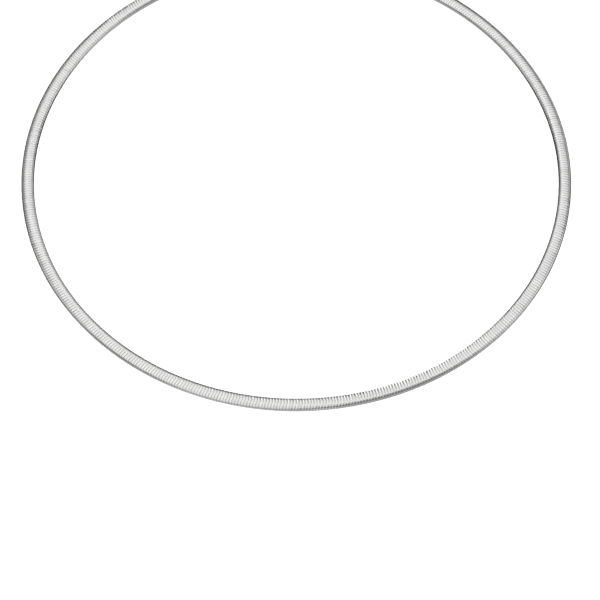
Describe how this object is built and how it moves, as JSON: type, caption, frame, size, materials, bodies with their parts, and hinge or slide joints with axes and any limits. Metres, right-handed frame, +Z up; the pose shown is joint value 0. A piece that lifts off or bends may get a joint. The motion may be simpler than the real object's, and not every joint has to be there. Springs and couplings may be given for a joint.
{
  "type": "omega necklace",
  "caption": "Stiff round omega collar: a flat band of narrow domed plates folded over a woven core, closed by a plain box clasp at the nape, held tilted as worn.",
  "frame": {"origin": "centre of the neck opening, on the axis of the ring, in the plane of the band's back (the folded lips); a neck goes through it", "axes": "+X to the right as seen from the front, -Y to the front, +Z up; the ring's plane is tilted 30 degrees about X, front lower than the nape"},
  "size_m": [0.1324, 0.1157, 0.0679],
  "materials": {
    "plate_metal": "bright polished white precious metal",
    "core_mesh": "woven white precious metal wire, satin",
    "fitting_metal": "bright polished white precious metal"
  },
  "bodies": {
    "root": {"plates_left": "plate_metal", "plates_right": "plate_metal", "core": "core_mesh", "end_cap_left": "fitting_metal", "end_cap_right": "fitting_metal", "clasp": "fitting_metal"}
  },
  "joints": []
}
